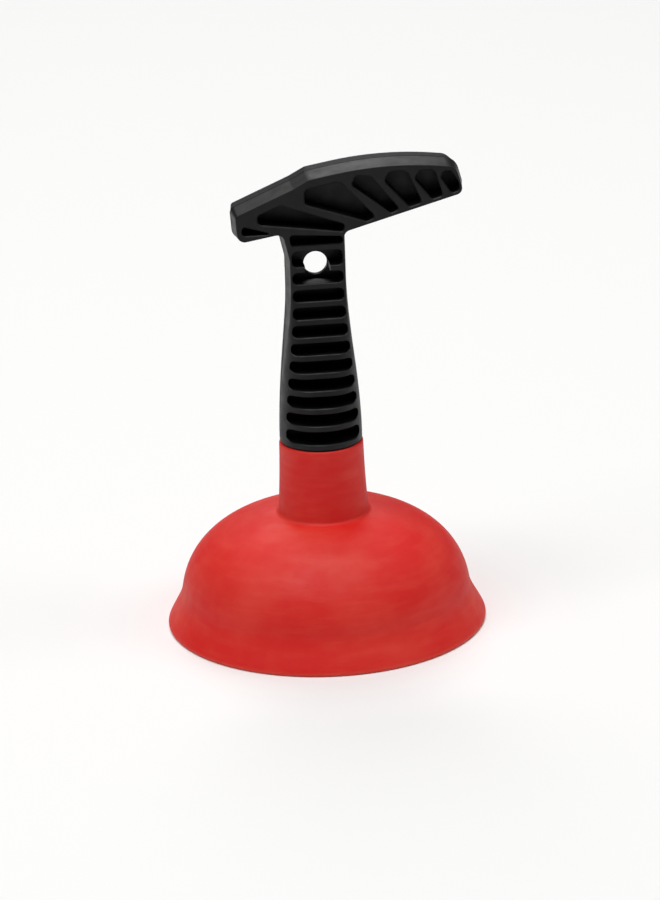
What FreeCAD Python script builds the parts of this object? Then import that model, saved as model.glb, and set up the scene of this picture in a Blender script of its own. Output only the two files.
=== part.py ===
import FreeCAD, Part
import os
from math import acos, cos, hypot, radians, sin, tan

# A small sink and toilet plunger: a soft rubber cup and a moulded T-handle that is pushed into it.
# Millimetres. +Z is up, the lip of the cup stands on z = 0, the cup's axis is the Z axis and the
# long wing of the crossbar points along +X. The handle's mould parts on the plane y = 0.

V = FreeCAD.Vector
UP = V(0, 0, 1)

# ---- rubber cup -------------------------------------------------------------------------------
cup_radius = 54.8            # widest point, at the lip
lip_width = 3.4              # flat ring that seals on the basin
lip_edge = 0.9               # rounding of the lip's two edges
flare_width = 5.3            # how far the lip stands out past the waist
waist_height = 13.0          # where the flare turns into the dome
dome_height = 39.4           # crown of the dome beside the collar
cup_wall = 2.9
collar_height = 25.9         # from the crown of the dome to the top of the collar
collar_overhang = 0.3        # the collar's top past the handle's shoulder
collar_waist_swell = 0.35    # the collar half way down, past its top
collar_foot_swell = 1.15     # the collar's foot, past its top
crease_width = 1.5           # from the collar's foot out to the dome
collar_edge = 0.9
crease_edge = 1.3
socket_floor = 4.0           # rubber left between the socket and the inside of the cup

# ---- fit between the two mouldings ------------------------------------------------------------
seat_gap = 0.1               # the handle's shoulder over the top of the collar
socket_gap = 0.12            # all round the spigot and its beads
spigot_radius = 9.6
bead_height = 0.8            # how far a retaining bead stands out of the spigot
bead_length = 3.2
bead_places = (6.5, 14.5)    # depth of each bead's middle under the shoulder
spigot_tip_edge = 1.2
socket_mouth_edge = 0.5

# ---- handle stem ------------------------------------------------------------------------------
base_radius = 14.05          # the round shoulder that sits on the collar
base_edge = 0.5              # chamfer under the shoulder, which leaves a groove over the collar
nearly_round = 0.998         # corner radius of the foot's section over its half width
neck_half_width = 10.2       # at the mould's parting plane
half_depth = 8.5             # of the neck and of the crossbar
stem_height = 65.0           # from the shoulder to the top of the neck
taper_start = 1.6            # height above the shoulder where the stem starts to narrow
neck_run = 6.5               # straight length at the top, where the stem is down to the neck
taper_stations = 12          # sections that the taper is lofted through
draft_angle = 6.5            # of every outer face, away from the parting plane
face_edge = 0.35             # rounding between the outer faces and the front and back faces

# ---- coring of the handle ---------------------------------------------------------------------
web_thickness = 2.0          # the sheet left between the front and the back pockets
foot_wall = 1.6              # beside the pockets at the stem's round foot
rim_land = 0.03              # least flat beside the pockets' rims, on the neck's front and back
floor_flange = 2.3           # solid disc under the lowest pocket
first_rib = 7.9              # middle of the lowest rib above the shoulder
rib_thickness = 2.0
rib_count = 10               # evenly spaced, from the lowest rib to the one that the hole cuts
stem_pocket_corner = 1.8
neck_pocket_corner = 1.2
corner_limit = 0.45          # most that a pocket's corner radius takes of the pocket's height
stem_rim_edge = 0.25         # chamfer round the pockets' rims
bar_rim_edge = 0.35
hang_hole_radius = 4.05
hang_hole_drop = 2.1         # the hang hole's centre under the top of the neck
rib_relief = 0.3             # ribs in front of the web are cut back this far round the hole
hook_clearing = 3.5          # ribs behind the web are cut back this far round the hole
top_rib_rise = 7.4           # middle of the rib above the hang hole, over the hole's centre
neck_roof = 8.8              # right end of the neck pocket's sloping roof, over the top of the neck
neck_roof_rise = 1.4         # how much higher its left end is
neck_roof_flare = 0.5        # how much further its left end reaches

# ---- crossbar ---------------------------------------------------------------------------------
# Corners are (share, height over the top of the neck, corner radius). The share is of the wing's
# length, positive along the long wing and negative along the short one.
long_wing = 51.0             # from the axis to the tip, at the parting plane
short_wing = 28.0
neck_flare = 1.9             # how far the neck spreads where the short wing starts
bar_top_profile = [          # over the top, from the tip of the long wing to that of the short
    (1.0, 20.6, 3.2),
    (0.945, 31.2, 5.6),
    (0.47, 34.3, 120.0),
    (-0.075, 29.9, 5.0),
    (-0.275, 26.9, 5.0),
    (-1.0, 18.3, 2.2),
    (-0.975, 7.2, 3.6),
]
long_wing_foot = 9.4         # height where the long wing's underside meets the neck
short_wing_foot = 9.7
foot_corner = 1.6            # inner corner under each wing
flare_start = 1.0            # height where the neck begins to spread
flare_corner = 4.0
bar_overlap = 3.0            # the outline runs this far down into the stem
bar_pockets = [              # pockets in the wings, from the left
    [(-0.89, 10.9, 1.2), (-0.52, 10.9, 0.3), (-0.89, 14.2, 1.0)],
    [(-0.13, 20.5, 1.9), (0.333, 13.4, 1.0), (0.396, 14.7, 1.1), (0.165, 27.8, 2.6),
     (-0.13, 25.6, 1.6)],
    [(0.238, 26.2, 1.7), (0.494, 15.7, 1.0), (0.553, 17.0, 1.0), (0.368, 28.9, 2.2),
     (0.265, 29.5, 1.7)],
    [(0.452, 27.0, 2.2), (0.616, 17.5, 1.0), (0.704, 18.7, 1.3), (0.608, 30.1, 2.8),
     (0.49, 30.1, 1.8)],
    [(0.652, 27.3, 1.8), (0.769, 19.6, 1.0), (0.843, 20.7, 1.3), (0.787, 29.9, 2.4),
     (0.688, 29.9, 1.6)],
    [(0.826, 27.2, 1.4), (0.898, 21.3, 1.2), (0.953, 22.2, 1.5), (0.948, 24.8, 2.2),
     (0.9, 29.2, 2.0), (0.848, 29.2, 1.2)],
]
throat_left = [              # the pocket over the neck: corners in the short wing
    (-0.42, 20.7, 1.8),
    (-0.7, 17.6, 1.5),
    (-0.7, 14.5, 1.8),
]
throat_right = [             # its other corners, measured back from the neck's right side
    (1.4, 10.4, 0.8),
    (0.4, 12.8, 1.0),
]
rim_split = 9.1              # over the top of the neck: bar_rim_edge above it, stem_rim_edge below
cut_reach = 20.0             # how far a cutting body runs past the handle's widest point

# ---- derived places ---------------------------------------------------------------------------
waist_radius = cup_radius - flare_width
collar_top_radius = base_radius + collar_overhang
collar_waist_radius = collar_top_radius + collar_waist_swell
collar_foot_radius = collar_top_radius + collar_foot_swell
crown_radius = collar_foot_radius + crease_width
collar_top = dome_height + collar_height
shoulder = collar_top + seat_gap
neck_start = stem_height - neck_run
neck_top_z = shoulder + stem_height
draft_step = half_depth * tan(radians(draft_angle))
socket_bottom = dome_height - cup_wall + socket_floor
spigot_tip = socket_bottom + seat_gap
first_rib_z = shoulder + first_rib
hang_hole_z = neck_top_z - hang_hole_drop
rib_pitch = (hang_hole_z - first_rib_z) / (rib_count - 1)


# ---- helpers ----------------------------------------------------------------------------------
def rounded(corners, place):
    """Closed wire through (a, b, radius) corners; place() turns (a, b) into a point in space."""
    count = len(corners)
    rounds = []
    for i, (a, b, radius) in enumerate(corners):
        into = towards((a, b), corners[i - 1])
        out = towards((a, b), corners[(i + 1) % count])
        rounds.append(corner_round(a, b, radius, into, out))
    edges = []
    for i, (start, middle, end) in enumerate(rounds):
        if middle:
            edges.append(Part.Arc(place(*start), place(*middle), place(*end)).toShape())
        following = rounds[(i + 1) % count][0]
        edges.append(Part.makeLine(place(*end), place(*following)))
    return Part.Wire(edges)


def corner_round(a, b, radius, into, out):
    """Start, middle and end of the arc that rounds a corner; a sharp corner has no middle."""
    if radius == 0:
        return (a, b), None, (a, b)
    half = 0.5 * acos(into[0] * out[0] + into[1] * out[1])
    back = radius / tan(half)
    reach = (radius / sin(half) - radius) / (2 * cos(half))
    start = (a + into[0] * back, b + into[1] * back)
    middle = (a + (into[0] + out[0]) * reach, b + (into[1] + out[1]) * reach)
    end = (a + out[0] * back, b + out[1] * back)
    return start, middle, end


def towards(here, there):
    a = there[0] - here[0]
    b = there[1] - here[1]
    length = hypot(a, b)
    return (a / length, b / length)


def bezier(*poles):
    curve = Part.BezierCurve()
    curve.setPoles([V(r, 0, z) for r, z in poles])
    return curve.toShape()


def line(start, end):
    return Part.makeLine(V(start[0], 0, start[1]), V(end[0], 0, end[1]))


def turned(edges):
    """Solid of revolution about Z from a closed profile in the XZ plane."""
    return Part.Face(Part.Wire(edges)).revolve(V(0, 0, 0), UP, 360)


def ring_edges(shape, radius, z):
    """The circular edges about Z with this radius at this height."""
    found = []
    for edge in shape.Edges:
        curve = edge.Curve
        if isinstance(curve, Part.Circle) and abs(curve.Radius - radius) < 0.01:
            if abs(curve.Center.z - z) < 0.01:
                found.append(edge)
    return found


# ---- rubber cup -------------------------------------------------------------------------------
def rubber_cup():
    """Flared lip, dome, crown and collar in one moulding, with a blind socket for the spigot."""
    side_lean = 0.15             # how fast the dome leaves the vertical at the waist
    side_pull = 0.86             # share of the dome's rise that the side stays upright
    crown_flat = 2.8             # level stretch beside the collar
    flare_lean = 0.42            # slope of the lip's flare
    rise = dome_height - waist_height
    inner_waist = waist_radius - cup_wall
    inner_top = dome_height - cup_wall
    inner_rise = inner_top - waist_height
    lip_corner = cup_radius + lip_edge * (flare_lean + hypot(1, flare_lean) - 1)
    inner_lip = cup_radius - lip_width

    outer = [
        bezier((lip_corner, 0),
               (lip_corner - flare_lean * waist_height / 3, waist_height / 3),
               (waist_radius + side_lean * waist_height / 3, waist_height * 2 / 3),
               (waist_radius, waist_height)),
        bezier((waist_radius, waist_height),
               (waist_radius - side_lean * side_pull * rise, waist_height + side_pull * rise),
               (crown_radius + crown_flat, dome_height),
               (crown_radius, dome_height)),
        line((crown_radius, dome_height), (collar_foot_radius, dome_height)),
        Part.Arc(V(collar_foot_radius, 0, dome_height),
                 V(collar_waist_radius, 0, dome_height + collar_height / 2),
                 V(collar_top_radius, 0, collar_top)).toShape(),
    ]
    socket_radius = spigot_radius + socket_gap
    inside = [
        line((collar_top_radius, collar_top), (socket_radius, collar_top)),
        line((socket_radius, collar_top), (socket_radius, socket_bottom)),
        line((socket_radius, socket_bottom), (0, socket_bottom)),
        line((0, socket_bottom), (0, inner_top)),
        line((0, inner_top), (crown_radius, inner_top)),
        bezier((crown_radius, inner_top),
               (crown_radius + crown_flat, inner_top),
               (inner_waist - side_lean * side_pull * inner_rise,
                waist_height + side_pull * inner_rise),
               (inner_waist, waist_height)),
        bezier((inner_waist, waist_height),
               (inner_waist + side_lean * waist_height / 3, waist_height * 2 / 3),
               (inner_lip - flare_lean * waist_height / 3, waist_height / 3),
               (inner_lip, 0)),
        line((inner_lip, 0), (lip_corner, 0)),
    ]
    cup = turned(outer + inside)
    for bead in beads(socket_gap):
        cup = cup.cut(bead)
    lip = ring_edges(cup, lip_corner, 0) + ring_edges(cup, inner_lip, 0)
    cup = cup.makeFillet(lip_edge, lip)
    cup = cup.makeFillet(crease_edge, ring_edges(cup, collar_foot_radius, dome_height))
    cup = cup.makeFillet(collar_edge, ring_edges(cup, collar_top_radius, collar_top))
    cup = cup.makeFillet(socket_mouth_edge, ring_edges(cup, socket_radius, collar_top))
    return cup


# ---- spigot -----------------------------------------------------------------------------------
def beads(gap):
    """The spigot's retaining beads, grown by gap all round: ridges with two sloping flanks."""
    rings = []
    crest = spigot_radius + bead_height + gap
    half = bead_length / 2 + gap
    for depth in bead_places:
        z = shoulder - depth
        profile = [line((0, z - half), (spigot_radius, z - half)),
                   line((spigot_radius, z - half), (crest, z)),
                   line((crest, z), (spigot_radius, z + half)),
                   line((spigot_radius, z + half), (0, z + half)),
                   line((0, z + half), (0, z - half))]
        rings.append(turned(profile))
    return rings


def spigot():
    length = shoulder + floor_flange / 2 - spigot_tip
    core = Part.makeCylinder(spigot_radius, length, V(0, 0, spigot_tip))
    core = core.makeChamfer(spigot_tip_edge, ring_edges(core, spigot_radius, spigot_tip))
    for bead in beads(0):
        core = core.fuse(bead)
    return core


# ---- handle stem ------------------------------------------------------------------------------
def ease(z):
    """0 at the shoulder, 1 at the neck, with a level start and end."""
    share = (z - shoulder - taper_start) / (neck_start - taper_start)
    share = max(0.0, min(1.0, share))
    return share * share * (3 - 2 * share)


def stem_half_width(z):
    return base_radius + (neck_half_width - base_radius) * ease(z)


def stem_half_depth(z):
    return base_radius + (half_depth - base_radius) * ease(z)


def stem_section(z, chamfer=0):
    """Round at the foot; at the neck a rectangle with drafted sides and rounded corners."""
    width = stem_half_width(z) - chamfer
    depth = stem_half_depth(z) - chamfer
    step = draft_step * ease(z)
    round_corner = base_radius * nearly_round
    corner = round_corner + (face_edge - round_corner) * ease(z) - chamfer
    corners = [
        (width, 0, 0),
        (width - step, depth, corner),
        (step - width, depth, corner),
        (-width, 0, 0),
        (step - width, -depth, corner),
        (width - step, -depth, corner),
    ]
    return rounded(corners, lambda a, b: V(a, b, z))


def stem_body():
    first = shoulder + taper_start
    step = (neck_start - taper_start) / taper_stations
    heights = [first + step * i for i in range(taper_stations + 1)]
    heights.append(neck_top_z)
    stem = Part.makeLoft([stem_section(z) for z in heights], True, False)
    rings = [stem_section(shoulder, base_edge),
             stem_section(shoulder + base_edge),
             stem_section(first)]
    foot = Part.makeLoft(rings, True, True)
    return stem.fuse(foot)


# ---- crossbar ---------------------------------------------------------------------------------
def inset(corners, gap):
    """The anticlockwise outline drawn in by gap, with its rounded corners kept concentric."""
    moved = []
    for i, (a, b, radius) in enumerate(corners):
        out = towards((a, b), corners[(i + 1) % len(corners)])
        into = towards(corners[i - 1], (a, b))
        turn = into[0] * out[1] - into[1] * out[0]
        share = gap / (1 + into[0] * out[0] + into[1] * out[1])
        a += share * (-into[1] - out[1])
        b += share * (into[0] + out[0])
        if radius > 0:
            radius = radius - gap if turn > 0 else radius + gap
        moved.append((a, b, radius))
    return moved


def bar_place(share):
    """Where a share of a wing's length lies along X."""
    return share * (long_wing if share > 0 else short_wing)


def bar_outline():
    """The crossbar and the top of the neck at the parting plane, anticlockwise."""
    top = [(bar_place(share), height, radius) for share, height, radius in bar_top_profile]
    right = [(neck_half_width, -bar_overlap, 0),
             (neck_half_width, long_wing_foot, foot_corner)]
    left = [(-neck_half_width - neck_flare, short_wing_foot, foot_corner),
            (-neck_half_width, flare_start, flare_corner),
            (-neck_half_width, -bar_overlap, 0)]
    return right + top + left


def on_plane(y):
    return lambda a, b: V(a, y, neck_top_z + b)


def crossbar():
    """Both mould halves, each drafted away from the parting plane, with their edges rounded."""
    outline = bar_outline()
    middle = rounded(outline, on_plane(0))
    halves = []
    for y in (-half_depth, half_depth):
        face = rounded(inset(outline, draft_step), on_plane(y))
        half = Part.makeLoft([middle, face], True, True)
        rim = [edge for edge in half.Edges if is_on_plane(edge, y)]
        halves.append(half.makeFillet(face_edge, rim))
    bar = halves[0].fuse(halves[1])
    reach = long_wing + short_wing + cut_reach
    below = Part.makeBox(2 * reach, 2 * reach, cut_reach, V(-reach, -reach, neck_top_z - cut_reach))
    return bar.cut(below)


def is_on_plane(edge, y):
    box = edge.BoundBox
    return abs(box.YMin - y) < 0.001 and abs(box.YMax - y) < 0.001


# ---- pockets ----------------------------------------------------------------------------------
def stem_pockets():
    """Outlines of the pockets between the stem's level ribs, in x and absolute height."""
    ribs = [first_rib_z + i * rib_pitch for i in range(rib_count)]
    ribs.append(hang_hole_z + top_rib_rise)
    floors = [shoulder + floor_flange] + [rib + rib_thickness / 2 for rib in ribs]
    roofs = [rib - rib_thickness / 2 for rib in ribs]
    outlines = []
    for low, high in zip(floors, roofs):
        wide = stem_pocket_reach(low)
        narrow = stem_pocket_reach(high)
        r = min(stem_pocket_corner, corner_limit * (high - low))
        outlines.append([(-wide, low, r), (wide, low, r), (narrow, high, r), (-narrow, high, r)])
    outlines.append(neck_pocket(floors[-1]))
    return outlines


def stem_pocket_reach(z):
    """Half the width of a stem pocket: at the neck it leaves room for the edges beside its rim."""
    neck_wall = draft_step + face_edge + stem_rim_edge + rim_land
    return stem_half_width(z) - foot_wall - (neck_wall - foot_wall) * ease(z)


def throat_pocket():
    """The pocket where the crossbar crosses the neck."""
    right = [(neck_half_width - back, neck_top_z + b, r) for back, b, r in throat_right]
    left = [(bar_place(share), neck_top_z + b, r) for share, b, r in throat_left]
    return right + left


def neck_pocket(floor):
    """The pocket over the highest rib, under the crossbar's own pockets."""
    reach = stem_pocket_reach(neck_top_z)
    roof = neck_top_z + neck_roof
    r = min(neck_pocket_corner, corner_limit * (roof - floor))
    return [(-reach, floor, r), (reach, floor, r), (reach, roof, r),
            (-reach - neck_roof_flare, roof + neck_roof_rise, r)]


def pocket_cutters():
    outlines = stem_pockets() + [throat_pocket()]
    for pocket in bar_pockets:
        outlines.append([(bar_place(share), neck_top_z + b, r) for share, b, r in pocket])
    depth = base_radius + cut_reach
    cutters = []
    for outline in outlines:
        for side in (-1, 1):
            y = side * web_thickness / 2
            wire = rounded(outline, lambda a, b, y=y: V(a, y, b))
            cutters.append(Part.Face(wire).extrude(V(0, side * depth, 0)))
    return cutters


def rims(shape, low, high):
    """Edges between these heights where a pocket's wall meets the handle's outer surface."""
    found = []
    for edge in shape.Edges:
        middle = edge.valueAt((edge.FirstParameter + edge.LastParameter) / 2)
        if abs(middle.y) < half_depth / 2 or not low < middle.z < high:
            continue
        slopes = []
        for face in shape.ancestorsOfType(edge, Part.Face):
            u, v = face.Surface.parameter(middle)
            slopes.append(abs(face.normalAt(u, v).y))
        if min(slopes) < 0.01 and max(slopes) > 0.1:
            found.append(edge)
    return found


# ---- handle -----------------------------------------------------------------------------------
def t_handle():
    """Crossbar, stem and spigot in one moulding, cored from both sides, with the hang hole."""
    handle = stem_body().fuse(crossbar())
    handle = handle.cut(pocket_cutters())
    split = neck_top_z + rim_split
    top = handle.BoundBox.ZMax
    handle = handle.makeChamfer(stem_rim_edge, rims(handle, shoulder + taper_start, split))
    handle = handle.makeChamfer(bar_rim_edge, rims(handle, split, top))
    return handle.cut(hang_hole()).fuse(spigot())


def hang_hole():
    """The hole through the web, and the wider cuts through the ribs in front and behind."""
    reach = base_radius + cut_reach
    half_web = web_thickness / 2
    through = Part.makeCylinder(hang_hole_radius, web_thickness,
                                V(0, -half_web, hang_hole_z), V(0, 1, 0))
    front = Part.makeCylinder(hang_hole_radius + rib_relief, reach - half_web,
                              V(0, -reach, hang_hole_z), V(0, 1, 0))
    behind = Part.makeCylinder(hang_hole_radius + hook_clearing, reach,
                               V(0, half_web, hang_hole_z), V(0, 1, 0))
    return [through, front, behind]


def main():
    os.makedirs("parts", exist_ok=True)
    nodes = {"rubber_cup": rubber_cup(), "t_handle": t_handle()}
    for name, shape in nodes.items():
        shape.exportStep("parts/" + name + ".step")
        print(name, len(shape.Solids), shape.isValid(), round(shape.Volume))


main()
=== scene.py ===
from math import acos, cos, hypot, pi, radians, sin, tan

import bmesh
import bpy
from bpy.props import FloatProperty, FloatVectorProperty, IntProperty, PointerProperty
from mathutils import Matrix, Vector


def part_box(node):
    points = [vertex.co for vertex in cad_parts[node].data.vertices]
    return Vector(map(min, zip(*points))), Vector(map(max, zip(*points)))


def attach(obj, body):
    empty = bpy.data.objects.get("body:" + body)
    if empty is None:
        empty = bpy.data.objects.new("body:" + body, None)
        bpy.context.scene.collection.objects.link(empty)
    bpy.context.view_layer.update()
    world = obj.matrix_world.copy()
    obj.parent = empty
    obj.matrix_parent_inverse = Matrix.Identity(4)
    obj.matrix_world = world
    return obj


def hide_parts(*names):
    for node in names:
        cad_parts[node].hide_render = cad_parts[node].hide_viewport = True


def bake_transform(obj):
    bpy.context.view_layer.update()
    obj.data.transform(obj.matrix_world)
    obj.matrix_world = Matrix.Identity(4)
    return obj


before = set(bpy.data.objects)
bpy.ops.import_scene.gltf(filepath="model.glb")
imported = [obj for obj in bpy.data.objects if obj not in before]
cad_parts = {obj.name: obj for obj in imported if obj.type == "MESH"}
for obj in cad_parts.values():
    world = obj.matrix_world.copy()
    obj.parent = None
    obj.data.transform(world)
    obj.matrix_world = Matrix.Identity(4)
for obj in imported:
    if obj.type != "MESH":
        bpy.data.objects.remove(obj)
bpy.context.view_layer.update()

# Finishes a small rubber-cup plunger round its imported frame: the turned rubber cup, the moulded
# T-handle, the flash along the handle's mould line, and a pale studio to see them in.

bl_info = {
    "name": "Cup Plunger",
    "version": (1, 0, 0),
    "blender": (4, 5, 0),
    "location": "View3D > Sidebar > Plunger",
    "description": "Builds the rubber cup, handle finish and stage of a small plunger",
    "category": "Add Mesh",
}

MM = 0.001
WELD = 0.001 * MM          # points nearer than this are one point
CUP_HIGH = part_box("rubber_cup")[1]

# ---- steps of the cup's section ---------------------------------------------------------------
DOME_STEPS = 40
INNER_DOME_STEPS = 30
FLARE_STEPS = 14
INNER_FLARE_STEPS = 12
COLLAR_STEPS = 12
CORNER_STEPS = 8

# ---- studio -----------------------------------------------------------------------------------
FLOOR_HALF = 4.0
FLOOR_DROP = 0.02 * MM     # keeps the floor just under the lip, so they never share a plane
FAR_CLIP = 100
WORLD_STRENGTH = 0.06
# Name, azimuth and elevation in degrees, distance and width in metres, power in watts.
SOFTBOXES = (
    ("overhead_softbox", -25, 80, 2.8, 1.8, 54),
    ("back_softbox", 180, 45, 3.0, 1.9, 32),
    ("left_softbox", -65, 48, 3.0, 1.6, 14),
    ("right_softbox", 80, 45, 3.0, 1.6, 14),
)


def srgb(code):
    """Linear red, green and blue of an sRGB hex colour such as #c8201a."""
    parts = [int(code[i:i + 2], 16) / 255 for i in (1, 3, 5)]
    return tuple(p / 12.92 if p <= 0.04045 else ((p + 0.055) / 1.055) ** 2.4 for p in parts)


# ---- settings ---------------------------------------------------------------------------------
def size_setting(name, description, millimetres):
    """A length that a user would change, given in millimetres and kept in metres."""
    return FloatProperty(name=name, description=description, default=millimetres * MM,
                         min=0, unit="LENGTH", precision=5)


def colour_setting(name, description, code):
    """A colour that a user would change, given as an sRGB hex value."""
    return FloatVectorProperty(name=name, description=description, default=srgb(code),
                               subtype="COLOR", min=0, max=1)


class RubberCupSettings(bpy.types.PropertyGroup):
    lip_radius: FloatProperty(name="Lip radius", description="Widest radius of the cup",
                              default=CUP_HIGH[0], min=0, unit="LENGTH", precision=5)
    collar_top: FloatProperty(name="Collar top", description="Height of the top of the collar",
                              default=CUP_HIGH[2], min=0, unit="LENGTH", precision=5)
    lip_width: size_setting("Lip width", "Width of the ring that seals on the basin", 3.4)
    lip_edge: size_setting("Lip edge", "Rounding of the lip's edges", 0.9)
    flare: size_setting("Flare", "How far the lip stands out past the waist", 5.3)
    waist_height: size_setting("Waist height", "Height where the flare meets the dome", 13.0)
    dome_height: size_setting("Dome height", "Height of the crown beside the collar", 39.4)
    crown_radius: size_setting("Crown radius", "Radius at the foot of the crease", 17.0)
    wall: size_setting("Wall", "Thickness of the rubber", 2.9)
    collar_foot: size_setting("Collar foot", "Radius of the collar at the crown", 15.5)
    collar_waist: size_setting("Collar waist", "Radius of the collar half way up", 14.7)
    collar_head: size_setting("Collar head", "Radius of the collar at its top", 14.35)
    collar_edge: size_setting("Collar edge", "Rounding of the collar's top edge", 0.9)
    crease: size_setting("Crease", "Rounding between the crown and the collar", 1.3)
    socket_radius: size_setting("Socket radius", "Radius of the hole for the spigot", 9.72)
    socket_floor: size_setting("Socket floor", "Rubber left under the spigot", 4.0)
    unevenness: size_setting("Unevenness", "How far the soft wall wanders from true", 0.07)
    segments: IntProperty(name="Segments", description="Steps round the cup", default=256, min=24)
    rubber: colour_setting("Rubber", "Colour of the red rubber", "#dc160d")
    # The bloom colour also paints the highlight along the lip's bottom edge.
    bloom_and_lip_highlight: colour_setting("Bloom", "Colour of the pale bloom on the rubber", "#ee5c48")


class HandleSettings(bpy.types.PropertyGroup):
    flash_radius: size_setting("Flash radius", "Half width of the flash on the mould line", 0.11)
    flash_sides: IntProperty(name="Flash sides", description="Sides of the flash's section",
                             default=8, min=3)
    plastic: colour_setting("Plastic", "Colour of the black plastic", "#080809")
    scuff: colour_setting("Scuff", "Colour of the plastic where it is rubbed", "#18181a")


class StageSettings(bpy.types.PropertyGroup):
    azimuth: FloatProperty(name="Azimuth", description="Direction that the camera looks from",
                           default=radians(-6), subtype="ANGLE")
    elevation: FloatProperty(name="Elevation", description="Camera angle above level",
                             default=radians(19.7), subtype="ANGLE")
    roll: FloatProperty(name="Roll", description="Turn of the camera about its own axis",
                        default=radians(1.95), subtype="ANGLE")
    distance: FloatProperty(name="Distance", description="Camera to target", default=1.5,
                            min=0.1, unit="LENGTH")
    lens: FloatProperty(name="Lens", description="Focal length", default=175.9, min=10)
    target_height: size_setting("Target height", "Height that the camera looks at", 61.0)
    target_side: size_setting("Target side", "How far right of the axis the camera looks", 2.9)
    floor: colour_setting("Floor", "Colour of the floor", "#f4f4f3")


# ---- node helpers -----------------------------------------------------------------------------
def add(tree, kind, links=(), **settings):
    """Adds a node, gives it its settings, and links (input, source socket or value) pairs."""
    node = tree.nodes.new(kind)
    for name, value in settings.items():
        setattr(node, name, value)
    for socket, source in dict(links).items():
        if isinstance(source, bpy.types.NodeSocket):
            tree.links.new(source, node.inputs[socket])
        else:
            node.inputs[socket].default_value = source
    return node


def geometry_tree(name, inputs):
    """An empty geometry tree with named inputs, and its input and output nodes."""
    tree = bpy.data.node_groups.new(name, "GeometryNodeTree")
    tree.interface.new_socket("Geometry", in_out="INPUT", socket_type="NodeSocketGeometry")
    for label, kind in inputs:
        tree.interface.new_socket(label, in_out="INPUT", socket_type="NodeSocket" + kind)
    tree.interface.new_socket("Geometry", in_out="OUTPUT", socket_type="NodeSocketGeometry")
    return tree, tree.nodes.new("NodeGroupInput"), tree.nodes.new("NodeGroupOutput")


def finish_tree(tree, given, result, geometry):
    """Ends a tree in real geometry with its material."""
    real = add(tree, "GeometryNodeRealizeInstances", {"Geometry": geometry})
    painted = add(tree, "GeometryNodeSetMaterial",
                  {"Geometry": real.outputs[0], "Material": given.outputs["Material"]})
    tree.links.new(painted.outputs[0], result.inputs[0])


def grown(name, start, tree, values):
    """A new object whose mesh is what the tree makes of the start mesh."""
    source = bpy.data.objects.new(name + "_path", start)
    bpy.context.scene.collection.objects.link(source)
    modifier = source.modifiers.new(name, "NODES")
    modifier.node_group = tree
    for socket in tree.interface.items_tree:
        if socket.in_out == "INPUT" and socket.name in values:
            modifier[socket.identifier] = values[socket.name]
    source.update_tag()
    depsgraph = bpy.context.evaluated_depsgraph_get()
    mesh = bpy.data.meshes.new_from_object(source.evaluated_get(depsgraph))
    bpy.data.objects.remove(source)
    mesh.name = name
    piece = bpy.data.objects.new(name, mesh)
    bpy.context.scene.collection.objects.link(piece)
    return piece


def close_and_face_out(mesh, weld):
    """Welds the seams and poles of a turned shell and points its faces outwards."""
    work = bmesh.new()
    work.from_mesh(mesh)
    bmesh.ops.remove_doubles(work, verts=work.verts, dist=weld)
    bmesh.ops.recalc_face_normals(work, faces=work.faces)
    if work.calc_volume(signed=True) < 0:
        bmesh.ops.reverse_faces(work, faces=work.faces)
    open_edges = [edge for edge in work.edges if not edge.is_manifold]
    for face in work.faces:
        face.smooth = True
    work.to_mesh(mesh)
    work.free()
    if open_edges:
        raise RuntimeError(f"{mesh.name} has {len(open_edges)} open edges")


# ---- materials --------------------------------------------------------------------------------
def new_material(name):
    """A material with its tree, its shader, and the place on the object that patterns read."""
    material = bpy.data.materials.new(name)
    material.use_nodes = True
    tree = material.node_tree
    tree.nodes.clear()
    shader = add(tree, "ShaderNodeBsdfPrincipled")
    add(tree, "ShaderNodeOutputMaterial", {"Surface": shader.outputs[0]})
    place = add(tree, "ShaderNodeTexCoord").outputs["Object"]
    return material, tree, shader, place


def noise(tree, place, size, detail=2.0, roughness=0.5):
    """Noise whose lumps are about size across, in metres."""
    return add(tree, "ShaderNodeTexNoise",
               {"Vector": place, "Scale": 1 / size, "Detail": detail, "Roughness": roughness})


def spread(tree, value, low, high, low_out, high_out):
    """Maps a value from one range to another."""
    return add(tree, "ShaderNodeMapRange",
               {"Value": value, "From Min": low, "From Max": high,
                "To Min": low_out, "To Max": high_out}).outputs[0]


def mixed(tree, factor, first, second):
    """Goes from the first colour to the second as the factor rises from 0 to 1."""
    node = add(tree, "ShaderNodeMix", data_type="RGBA")
    tree.links.new(factor, node.inputs[0])
    for socket, source in ((node.inputs[6], first), (node.inputs[7], second)):
        if isinstance(source, bpy.types.NodeSocket):
            tree.links.new(source, socket)
        else:
            socket.default_value = (*source, 1)
    return node.outputs[2]


def streaks(tree, place, size, stretch, detail):
    """Noise drawn out level round the axis, in streaks about size high."""
    drawn_out = add(tree, "ShaderNodeVectorMath", {0: place, 1: (1, 1, stretch)},
                    operation="MULTIPLY")
    return noise(tree, drawn_out.outputs[0], size * stretch, detail=detail).outputs[0]


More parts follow.
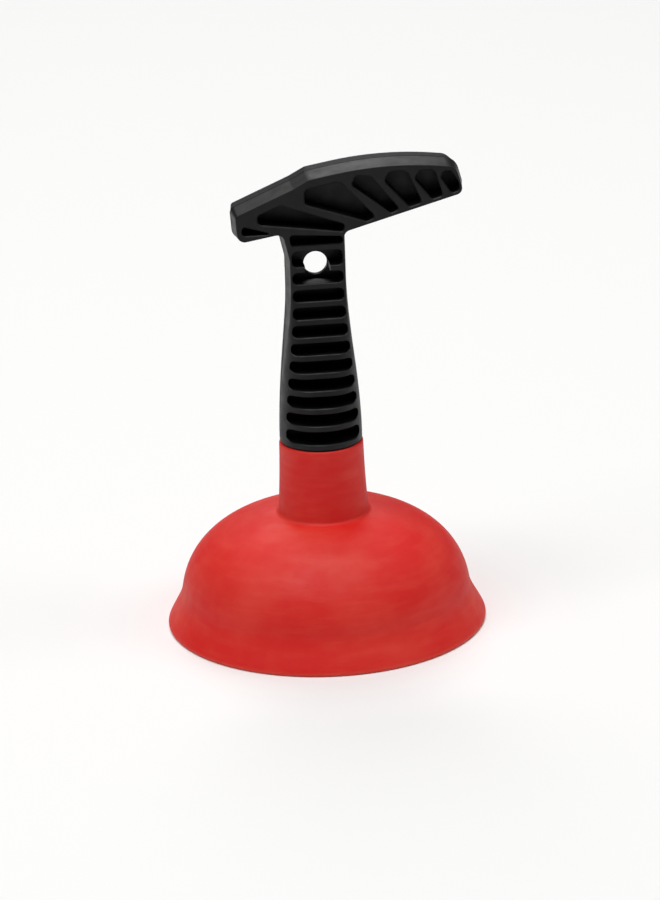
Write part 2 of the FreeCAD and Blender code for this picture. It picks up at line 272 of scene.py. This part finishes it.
def moulded_rubber(settings):
    """Compression-moulded red natural rubber: deep and matt, with level smears and patches of
    pale bloom where the wax has come out, a painted highlight along the lip's bottom edge,
    and the tooth of a blasted mould."""
    material, tree, shader, place = new_material("Moulded_red_rubber")
    patch_size = 20 * MM
    smear_height = 2.2 * MM
    rubbed_size = 6 * MM
    # Height band, above the lip's bottom, of the painted highlight along its edge.
    lip_highlight_start = 0.3 * MM
    lip_highlight_end = 1.7 * MM
    tooth_size = 0.5 * MM
    tooth_depth = 0.08 * MM
    ripple_height = 1.6 * MM
    ripple_depth = 0.12 * MM
    patches = noise(tree, place, patch_size, detail=3.0).outputs[0]
    patch = spread(tree, patches, 0.42, 0.72, 0.0, 0.26)
    smears = streaks(tree, place, smear_height, 7.0, 4.0)
    smear = spread(tree, smears, 0.46, 0.74, 0.0, 0.15)
    height = add(tree, "ShaderNodeSeparateXYZ", {"Vector": place}).outputs["Z"]
    # Painted highlight: the lowest 1.7 mm is made paler, standing in for light on the lip's rounded
    # edge.
    painted_lip_highlight = spread(tree, height, lip_highlight_start, lip_highlight_end, 0.4, 0.0)
    paler = add(tree, "ShaderNodeMath", {0: patch, 1: smear}, operation="ADD").outputs[0]
    # Bloom patches and smears are the rubber's own tone; the lip part is painted highlight.
    bloom_and_lip_highlight = add(tree, "ShaderNodeMath", {0: paler, 1: painted_lip_highlight}, operation="ADD", use_clamp=True)
    red = mixed(tree, bloom_and_lip_highlight.outputs[0], tuple(settings.rubber), tuple(settings.bloom_and_lip_highlight))
    tree.links.new(red, shader.inputs["Base Color"])
    rub = noise(tree, place, rubbed_size, detail=4.0).outputs[0]
    tree.links.new(spread(tree, rub, 0.3, 0.7, 0.54, 0.68), shader.inputs["Roughness"])
    shader.inputs["IOR"].default_value = 1.52
    shader.inputs["Specular IOR Level"].default_value = 0.4
    # Blasted moulds leave a tooth of about 0.1 mm; it is drawn at 0.5 mm so that it shows.
    tooth = noise(tree, place, tooth_size).outputs[0]
    fine = add(tree, "ShaderNodeBump",
               {"Height": tooth, "Strength": 0.3, "Distance": tooth_depth})
    ripple = streaks(tree, place, ripple_height, 5.0, 2.0)
    broad = add(tree, "ShaderNodeBump",
                {"Height": ripple, "Strength": 0.35, "Distance": ripple_depth,
                 "Normal": fine.outputs[0]})
    tree.links.new(broad.outputs[0], shader.inputs["Normal"])
    return material


def moulded_polypropylene(settings):
    """Injection-moulded black polypropylene: a close dark matt skin from a spark-eroded mould,
    rubbed a little paler in random patches, and a thin line of painted shade on the mould line."""
    material, tree, shader, place = new_material("Moulded_black_polypropylene")
    handled_size = 9 * MM
    grease_size = 4 * MM
    # Half widths of the thin line of painted shade along the mould line.
    line_shade_core = 0.12 * MM
    line_shade_edge = 0.34 * MM
    mould_line_shade_colour = srgb("#040404")
    grain_size = 0.45 * MM
    grain_depth = 0.06 * MM
    handling = noise(tree, place, handled_size, detail=4.0)
    worn = spread(tree, handling.outputs[0], 0.5, 0.75, 0.0, 0.5)
    skin = mixed(tree, worn, tuple(settings.plastic), tuple(settings.scuff))
    # Painted shade: the skin is darkened in a thin line along the mould line, at y = 0.
    across = add(tree, "ShaderNodeSeparateXYZ", {"Vector": place}).outputs["Y"]
    off_line = add(tree, "ShaderNodeMath", {0: across}, operation="ABSOLUTE").outputs[0]
    mould_line = spread(tree, off_line, line_shade_core, line_shade_edge, 1.0, 0.0)
    black = mixed(tree, mould_line, skin, mould_line_shade_colour)
    tree.links.new(black, shader.inputs["Base Color"])
    grease = noise(tree, place, grease_size, detail=5.0)
    rough = spread(tree, grease.outputs[0], 0.3, 0.7, 0.42, 0.56)
    tree.links.new(rough, shader.inputs["Roughness"])
    shader.inputs["IOR"].default_value = 1.49
    shader.inputs["Specular IOR Level"].default_value = 0.3
    # Spark erosion leaves a grain of about 0.15 mm; it is drawn at 0.45 mm so that it shows.
    grain = noise(tree, place, grain_size, detail=2.0)
    bump = add(tree, "ShaderNodeBump",
               {"Height": grain.outputs[0], "Strength": 0.3, "Distance": grain_depth})
    tree.links.new(bump.outputs[0], shader.inputs["Normal"])
    return material


def studio_floor(settings):
    """Painted board: pale, even and matt."""
    material, _, shader, _ = new_material("Pale_painted_board")
    shader.inputs["Base Color"].default_value = (*settings.floor, 1)
    shader.inputs["Roughness"].default_value = 0.9
    shader.inputs["IOR"].default_value = 1.45
    return material


# ---- rubber cup -------------------------------------------------------------------------------
def bezier(start, first, second, end, steps):
    """Points along the curve from start to end that its two handles pull."""
    points = []
    for i in range(steps + 1):
        t = i / steps
        s = 1 - t
        points.append(tuple(s * s * s * a + 3 * s * s * t * b + 3 * s * t * t * c + t * t * t * d
                            for a, b, c, d in zip(start, first, second, end)))
    return points


def rounded_corner(before, corner, after, radius, steps=CORNER_STEPS):
    """Points of the arc that rounds a corner of the section."""
    into = Vector(before) - Vector(corner)
    out = Vector(after) - Vector(corner)
    into.normalize()
    out.normalize()
    half = 0.5 * acos(max(-1.0, min(1.0, into.dot(out))))
    centre = Vector(corner) + (into + out).normalized() * (radius / sin(half))
    start = Vector(corner) + into * (radius / tan(half)) - centre
    end = Vector(corner) + out * (radius / tan(half)) - centre
    sweep = pi - 2 * half
    points = []
    for i in range(steps + 1):
        share = i / steps
        from_start = sin((1 - share) * sweep) / sin(sweep)
        from_end = sin(share * sweep) / sin(sweep)
        points.append(tuple(centre + (start * from_start + end * from_end)))
    return points


def cup_section(s):
    """Half of the cup's section, as (radius, height), from the axis inside the dome, out under
    the lip, up the outside and down the socket, back to the axis. The socket is a plain bore."""
    side_lean = 0.15           # of the dome's side at the waist, as run over rise
    side_pull = 0.86           # share of the rise that the side's handle takes
    crown_flat = 2.8 * MM
    flare_lean = 0.42          # of the flare at the lip, as run over rise
    mouth_edge = 0.5 * MM
    far = 1.0                  # a point this far off gives an edge its direction
    third = s.waist_height / 3
    lip_corner = s.lip_radius + s.lip_edge * (flare_lean + hypot(1, flare_lean) - 1)
    inner_lip = s.lip_radius - s.lip_width
    waist = s.lip_radius - s.flare
    inner_waist = waist - s.wall
    inner_top = s.dome_height - s.wall
    inner_rise = inner_top - s.waist_height
    rise = s.dome_height - s.waist_height

    inner_dome = bezier((s.crown_radius, inner_top), (s.crown_radius + crown_flat, inner_top),
                        (inner_waist - side_lean * side_pull * inner_rise,
                         s.waist_height + side_pull * inner_rise),
                        (inner_waist, s.waist_height), INNER_DOME_STEPS)
    inner_edge = rounded_corner((inner_lip - flare_lean * far, far), (inner_lip, 0), (far, 0),
                                s.lip_edge)
    outer_edge = rounded_corner((0, 0), (lip_corner, 0), (lip_corner - flare_lean * far, far),
                                s.lip_edge)
    inner_flare = bezier((inner_waist, s.waist_height),
                         (inner_waist + side_lean * third, 2 * third),
                         (inner_lip - flare_lean * third, third), inner_edge[0],
                         INNER_FLARE_STEPS)
    outer_flare = bezier(outer_edge[-1], (lip_corner - flare_lean * third, third),
                         (waist + side_lean * third, 2 * third),
                         (waist, s.waist_height), FLARE_STEPS)
    outer_dome = bezier((waist, s.waist_height),
                        (waist - side_lean * side_pull * rise,
                         s.waist_height + side_pull * rise),
                        (s.crown_radius + crown_flat, s.dome_height),
                        (s.crown_radius, s.dome_height), DOME_STEPS)
    collar = [(collar_radius(s, t), s.dome_height + t * (s.collar_top - s.dome_height))
              for t in (i / COLLAR_STEPS for i in range(1, COLLAR_STEPS))]
    crease = rounded_corner((s.crown_radius, s.dome_height), (s.collar_foot, s.dome_height),
                            collar[0], s.crease)
    shoulder = rounded_corner(collar[-1], (s.collar_head, s.collar_top), (0, s.collar_top),
                              s.collar_edge)
    socket_bottom = inner_top + s.socket_floor
    mouth = rounded_corner((s.collar_head, s.collar_top), (s.socket_radius, s.collar_top),
                           (s.socket_radius, 0), mouth_edge)
    socket = [(s.socket_radius, socket_bottom), (0, socket_bottom)]

    section = [(0, inner_top)]
    for stretch in (inner_dome, inner_flare[1:], inner_edge[1:], outer_edge, outer_flare[1:],
                    outer_dome[1:], crease, collar[1:], shoulder, mouth, socket):
        section.extend(stretch)
    return section


def collar_radius(s, t):
    """The collar narrows quickly at its foot and slowly near its head."""
    foot, waist, head = s.collar_foot, s.collar_waist, s.collar_head
    return foot * (1 - t) * (1 - 2 * t) + waist * 4 * t * (1 - t) + head * t * (2 * t - 1)


def turning_tree():
    """Turns a section, given as a chain of points in the XZ plane, about the Z axis."""
    tree, given, result = geometry_tree("Turned_rubber", (
        ("Segments", "Int"), ("Weld", "Float"), ("Unevenness", "Float"),
        ("Unevenness Size", "Float"), ("Flat Lip", "Float"), ("Seed", "Float"),
        ("Material", "Material")))
    count = add(tree, "GeometryNodeAttributeDomainSize", {"Geometry": given.outputs["Geometry"]})
    columns = add(tree, "ShaderNodeMath", {0: given.outputs["Segments"], 1: 1.0}, operation="ADD")
    grid = add(tree, "GeometryNodeMeshGrid",
               {"Vertices X": columns.outputs[0], "Vertices Y": count.outputs["Point Count"]})
    spot = add(tree, "ShaderNodeSeparateXYZ", {"Vector": grid.outputs["UV Map"]})
    last = add(tree, "ShaderNodeMath", {0: count.outputs["Point Count"], 1: 1.0},
               operation="SUBTRACT")
    row = add(tree, "ShaderNodeMath", {0: spot.outputs["Y"], 1: last.outputs[0]},
              operation="MULTIPLY")
    whole = add(tree, "FunctionNodeFloatToInt", {0: row.outputs[0]}, rounding_mode="ROUND")
    where = add(tree, "GeometryNodeInputPosition")
    section = add(tree, "GeometryNodeSampleIndex",
                  {"Geometry": given.outputs["Geometry"], "Index": whole.outputs[0]},
                  data_type="FLOAT_VECTOR")
    tree.links.new(where.outputs[0], section.inputs["Value"])
    point = add(tree, "ShaderNodeSeparateXYZ", {"Vector": section.outputs[0]})
    angle = add(tree, "ShaderNodeMath", {0: spot.outputs["X"], 1: 2 * pi}, operation="MULTIPLY")
    sides = []
    for function in ("COSINE", "SINE"):
        share = add(tree, "ShaderNodeMath", {0: angle.outputs[0]}, operation=function)
        sides.append(add(tree, "ShaderNodeMath", {0: share.outputs[0], 1: point.outputs["X"]},
                         operation="MULTIPLY").outputs[0])
    turned = add(tree, "ShaderNodeCombineXYZ",
                 {"X": sides[0], "Y": sides[1], "Z": point.outputs["Z"]})
    shell = add(tree, "GeometryNodeSetPosition",
                {"Geometry": grid.outputs["Mesh"], "Position": turned.outputs[0]})
    welded = add(tree, "GeometryNodeMergeByDistance",
                 {"Geometry": shell.outputs[0], "Distance": given.outputs["Weld"]})
    scale = add(tree, "ShaderNodeMath", {0: 1.0, 1: given.outputs["Unevenness Size"]},
                operation="DIVIDE")
    lumps = add(tree, "ShaderNodeTexNoise",
                {"Vector": where.outputs[0], "W": given.outputs["Seed"],
                 "Scale": scale.outputs[0], "Detail": 1.0}, noise_dimensions="4D")
    centred = add(tree, "ShaderNodeMath", {0: lumps.outputs[0], 1: 0.5}, operation="SUBTRACT")
    amount = add(tree, "ShaderNodeMath", {0: centred.outputs[0], 1: given.outputs["Unevenness"]},
                 operation="MULTIPLY")
    height = add(tree, "ShaderNodeSeparateXYZ", {"Vector": where.outputs[0]})
    off_lip = add(tree, "ShaderNodeMapRange",
                  {"Value": height.outputs["Z"], "From Max": given.outputs["Flat Lip"]})
    eased = add(tree, "ShaderNodeMath", {0: amount.outputs[0], 1: off_lip.outputs[0]},
                operation="MULTIPLY")
    outwards = add(tree, "GeometryNodeInputNormal")
    shift = add(tree, "ShaderNodeVectorMath", {0: outwards.outputs[0]}, operation="SCALE")
    tree.links.new(eased.outputs[0], shift.inputs["Scale"])
    soft = add(tree, "GeometryNodeSetPosition",
               {"Geometry": welded.outputs[0], "Offset": shift.outputs[0]})
    finish_tree(tree, given, result, soft.outputs[0])
    return tree


def chain_mesh(name, points):
    """A mesh of single edges through the points, in order."""
    mesh = bpy.data.meshes.new(name)
    mesh.from_pydata(points, [(i, i + 1) for i in range(len(points) - 1)], [])
    return mesh


class PLUNGER_OT_add_rubber_cup(bpy.types.Operator):
    """Turn the flared rubber cup"""
    bl_idname = "plunger.add_rubber_cup"
    bl_label = "Rubber Cup"

    def execute(self, context):
        settings = context.scene.plunger_cup
        wander_size = 30 * MM
        flat_lip = 10 * MM
        seed = 3.0
        section = chain_mesh("cup_section", [(r, 0, z) for r, z in cup_section(settings)])
        cup = grown("moulded_cup", section, turning_tree(), {
            "Segments": settings.segments,
            "Weld": WELD,
            "Unevenness": settings.unevenness,
            "Unevenness Size": wander_size,
            "Flat Lip": flat_lip,
            "Seed": seed,
            "Material": moulded_rubber(settings),
        })
        close_and_face_out(cup.data, WELD)
        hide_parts("rubber_cup")
        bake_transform(cup)
        return {"FINISHED"}


# ---- handle -----------------------------------------------------------------------------------
def mould_line_path(node, low):
    """The chain of the handle's edges that lie on the parting plane, above a height."""
    work = bmesh.new()
    work.from_mesh(node.data)
    bmesh.ops.remove_doubles(work, verts=work.verts, dist=WELD)
    spare = [edge for edge in work.edges
             if any(abs(v.co.y) > WELD or v.co.z < low for v in edge.verts)]
    bmesh.ops.delete(work, geom=spare, context="EDGES")
    loose = [v for v in work.verts if not v.link_edges]
    bmesh.ops.delete(work, geom=loose, context="VERTS")
    mesh = bpy.data.meshes.new("mould_line")
    work.to_mesh(mesh)
    work.free()
    return mesh


def flash_tree():
    """A fine bead that follows a path."""
    tree, given, result = geometry_tree("Mould_flash", (
        ("Radius", "Float"), ("Sides", "Int"), ("Material", "Material")))
    path = add(tree, "GeometryNodeMeshToCurve", {"Mesh": given.outputs["Geometry"]})
    ring = add(tree, "GeometryNodeCurvePrimitiveCircle",
               {"Resolution": given.outputs["Sides"], "Radius": given.outputs["Radius"]})
    bead = add(tree, "GeometryNodeCurveToMesh",
               {"Curve": path.outputs[0], "Profile Curve": ring.outputs[0], "Fill Caps": True})
    finish_tree(tree, given, result, bead.outputs[0])
    return tree


class PLUNGER_OT_finish_handle(bpy.types.Operator):
    """Give the moulded handle its plastic skin"""
    bl_idname = "plunger.finish_handle"
    bl_label = "Handle Finish"

    def execute(self, context):
        plastic = moulded_polypropylene(context.scene.plunger_handle)
        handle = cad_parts["t_handle"]
        for material_slot in handle.material_slots:
            material_slot.material = plastic
        return {"FINISHED"}


class PLUNGER_OT_add_mould_flash(bpy.types.Operator):
    """Run a fine bead of flash along the handle's mould line"""
    bl_idname = "plunger.add_mould_flash"
    bl_label = "Mould Flash"

    def execute(self, context):
        settings = context.scene.plunger_handle
        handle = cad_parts["t_handle"]
        clear_of_collar = 1.0 * MM
        low = context.scene.plunger_cup.collar_top + clear_of_collar
        flash = grown("mould_flash", mould_line_path(handle, low), flash_tree(), {
            "Radius": settings.flash_radius,
            "Sides": settings.flash_sides,
            "Material": handle.material_slots[0].material,
        })
        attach(flash, "handle")
        return {"FINISHED"}


# ---- stage ------------------------------------------------------------------------------------
def look_from(azimuth, elevation):
    """Direction from the target to a viewer, with azimuth 0 in front and 90 degrees at +X."""
    return Vector((sin(azimuth) * cos(elevation), -cos(azimuth) * cos(elevation), sin(elevation)))


def aimed(place, target, roll=0.0):
    """Where a camera or light stands when it looks from a place at the target."""
    turn = (target - place).to_track_quat("-Z", "Y").to_matrix().to_4x4()
    return Matrix.Translation(place) @ turn @ Matrix.Rotation(-roll, 4, "Z")


def add_camera(settings):
    """The camera, a little to the left of straight on and above level."""
    camera = bpy.data.objects.new("camera", bpy.data.cameras.new("camera"))
    bpy.context.scene.collection.objects.link(camera)
    camera.data.lens = settings.lens
    camera.data.clip_end = FAR_CLIP
    right = Vector((cos(settings.azimuth), sin(settings.azimuth), 0))
    target = right * settings.target_side + Vector((0, 0, settings.target_height))
    place = target + look_from(settings.azimuth, settings.elevation) * settings.distance
    camera.matrix_world = aimed(place, target, settings.roll)
    bpy.context.scene.camera = camera


def add_softbox(name, azimuth, elevation, distance, size, power, target):
    """A round softbox that faces the target."""
    data = bpy.data.lights.new(name, "AREA")
    data.shape = "DISK"
    data.size = size
    data.energy = power
    light = bpy.data.objects.new(name, data)
    bpy.context.scene.collection.objects.link(light)
    place = target + look_from(radians(azimuth), radians(elevation)) * distance
    light.matrix_world = aimed(place, target)


def add_floor(settings):
    """A wide pale board under the cup."""
    corners = ((-1, -1), (1, -1), (1, 1), (-1, 1))
    mesh = bpy.data.meshes.new("floor")
    mesh.from_pydata([(x * FLOOR_HALF, y * FLOOR_HALF, -FLOOR_DROP) for x, y in corners], [],
                     [(0, 1, 2, 3)])
    mesh.materials.append(studio_floor(settings))
    floor = bpy.data.objects.new("floor", mesh)
    bpy.context.scene.collection.objects.link(floor)


class PLUNGER_OT_add_stage(bpy.types.Operator):
    """Set up the floor, the soft studio lights and the camera"""
    bl_idname = "plunger.add_stage"
    bl_label = "Stage"

    def execute(self, context):
        settings = context.scene.plunger_stage
        scene = context.scene
        scene.view_settings.view_transform = "Standard"
        world = bpy.data.worlds.new("studio")
        scene.world = world
        world.use_nodes = True
        background = world.node_tree.nodes["Background"]
        background.inputs["Color"].default_value = (*srgb("#ffffff"), 1)
        background.inputs["Strength"].default_value = WORLD_STRENGTH
        add_floor(settings)
        middle = Vector((0, 0, settings.target_height))
        for softbox in SOFTBOXES:
            add_softbox(*softbox, middle)
        add_camera(settings)
        return {"FINISHED"}


# ---- add-on -----------------------------------------------------------------------------------
class PLUNGER_PT_panel(bpy.types.Panel):
    """Lists the plunger's pieces and stage"""
    bl_idname = "PLUNGER_PT_panel"
    bl_label = "Cup Plunger"
    bl_space_type = "VIEW_3D"
    bl_region_type = "UI"
    bl_category = "Plunger"

    def draw(self, context):
        groups = (
            (context.scene.plunger_cup, ("plunger.add_rubber_cup",)),
            (context.scene.plunger_handle, ("plunger.finish_handle", "plunger.add_mould_flash")),
            (context.scene.plunger_stage, ("plunger.add_stage",)),
        )
        for settings, operators in groups:
            box = self.layout.box()
            for name in settings.bl_rna.properties.keys():
                if name not in ("name", "rna_type"):
                    box.prop(settings, name)
            for operator in operators:
                box.operator(operator)


CLASSES = (
    RubberCupSettings,
    HandleSettings,
    StageSettings,
    PLUNGER_OT_add_rubber_cup,
    PLUNGER_OT_finish_handle,
    PLUNGER_OT_add_mould_flash,
    PLUNGER_OT_add_stage,
    PLUNGER_PT_panel,
)


def register():
    for cls in CLASSES:
        bpy.utils.register_class(cls)
    bpy.types.Scene.plunger_cup = PointerProperty(type=RubberCupSettings)
    bpy.types.Scene.plunger_handle = PointerProperty(type=HandleSettings)
    bpy.types.Scene.plunger_stage = PointerProperty(type=StageSettings)


def unregister():
    del bpy.types.Scene.plunger_stage
    del bpy.types.Scene.plunger_handle
    del bpy.types.Scene.plunger_cup
    for cls in reversed(CLASSES):
        bpy.utils.unregister_class(cls)


def main():
    """Builds every piece and the stage, in metres."""
    register()
    bpy.ops.plunger.add_rubber_cup()
    bpy.ops.plunger.finish_handle()
    bpy.ops.plunger.add_mould_flash()
    bpy.ops.plunger.add_stage()


if __name__ == "__main__":
    main()
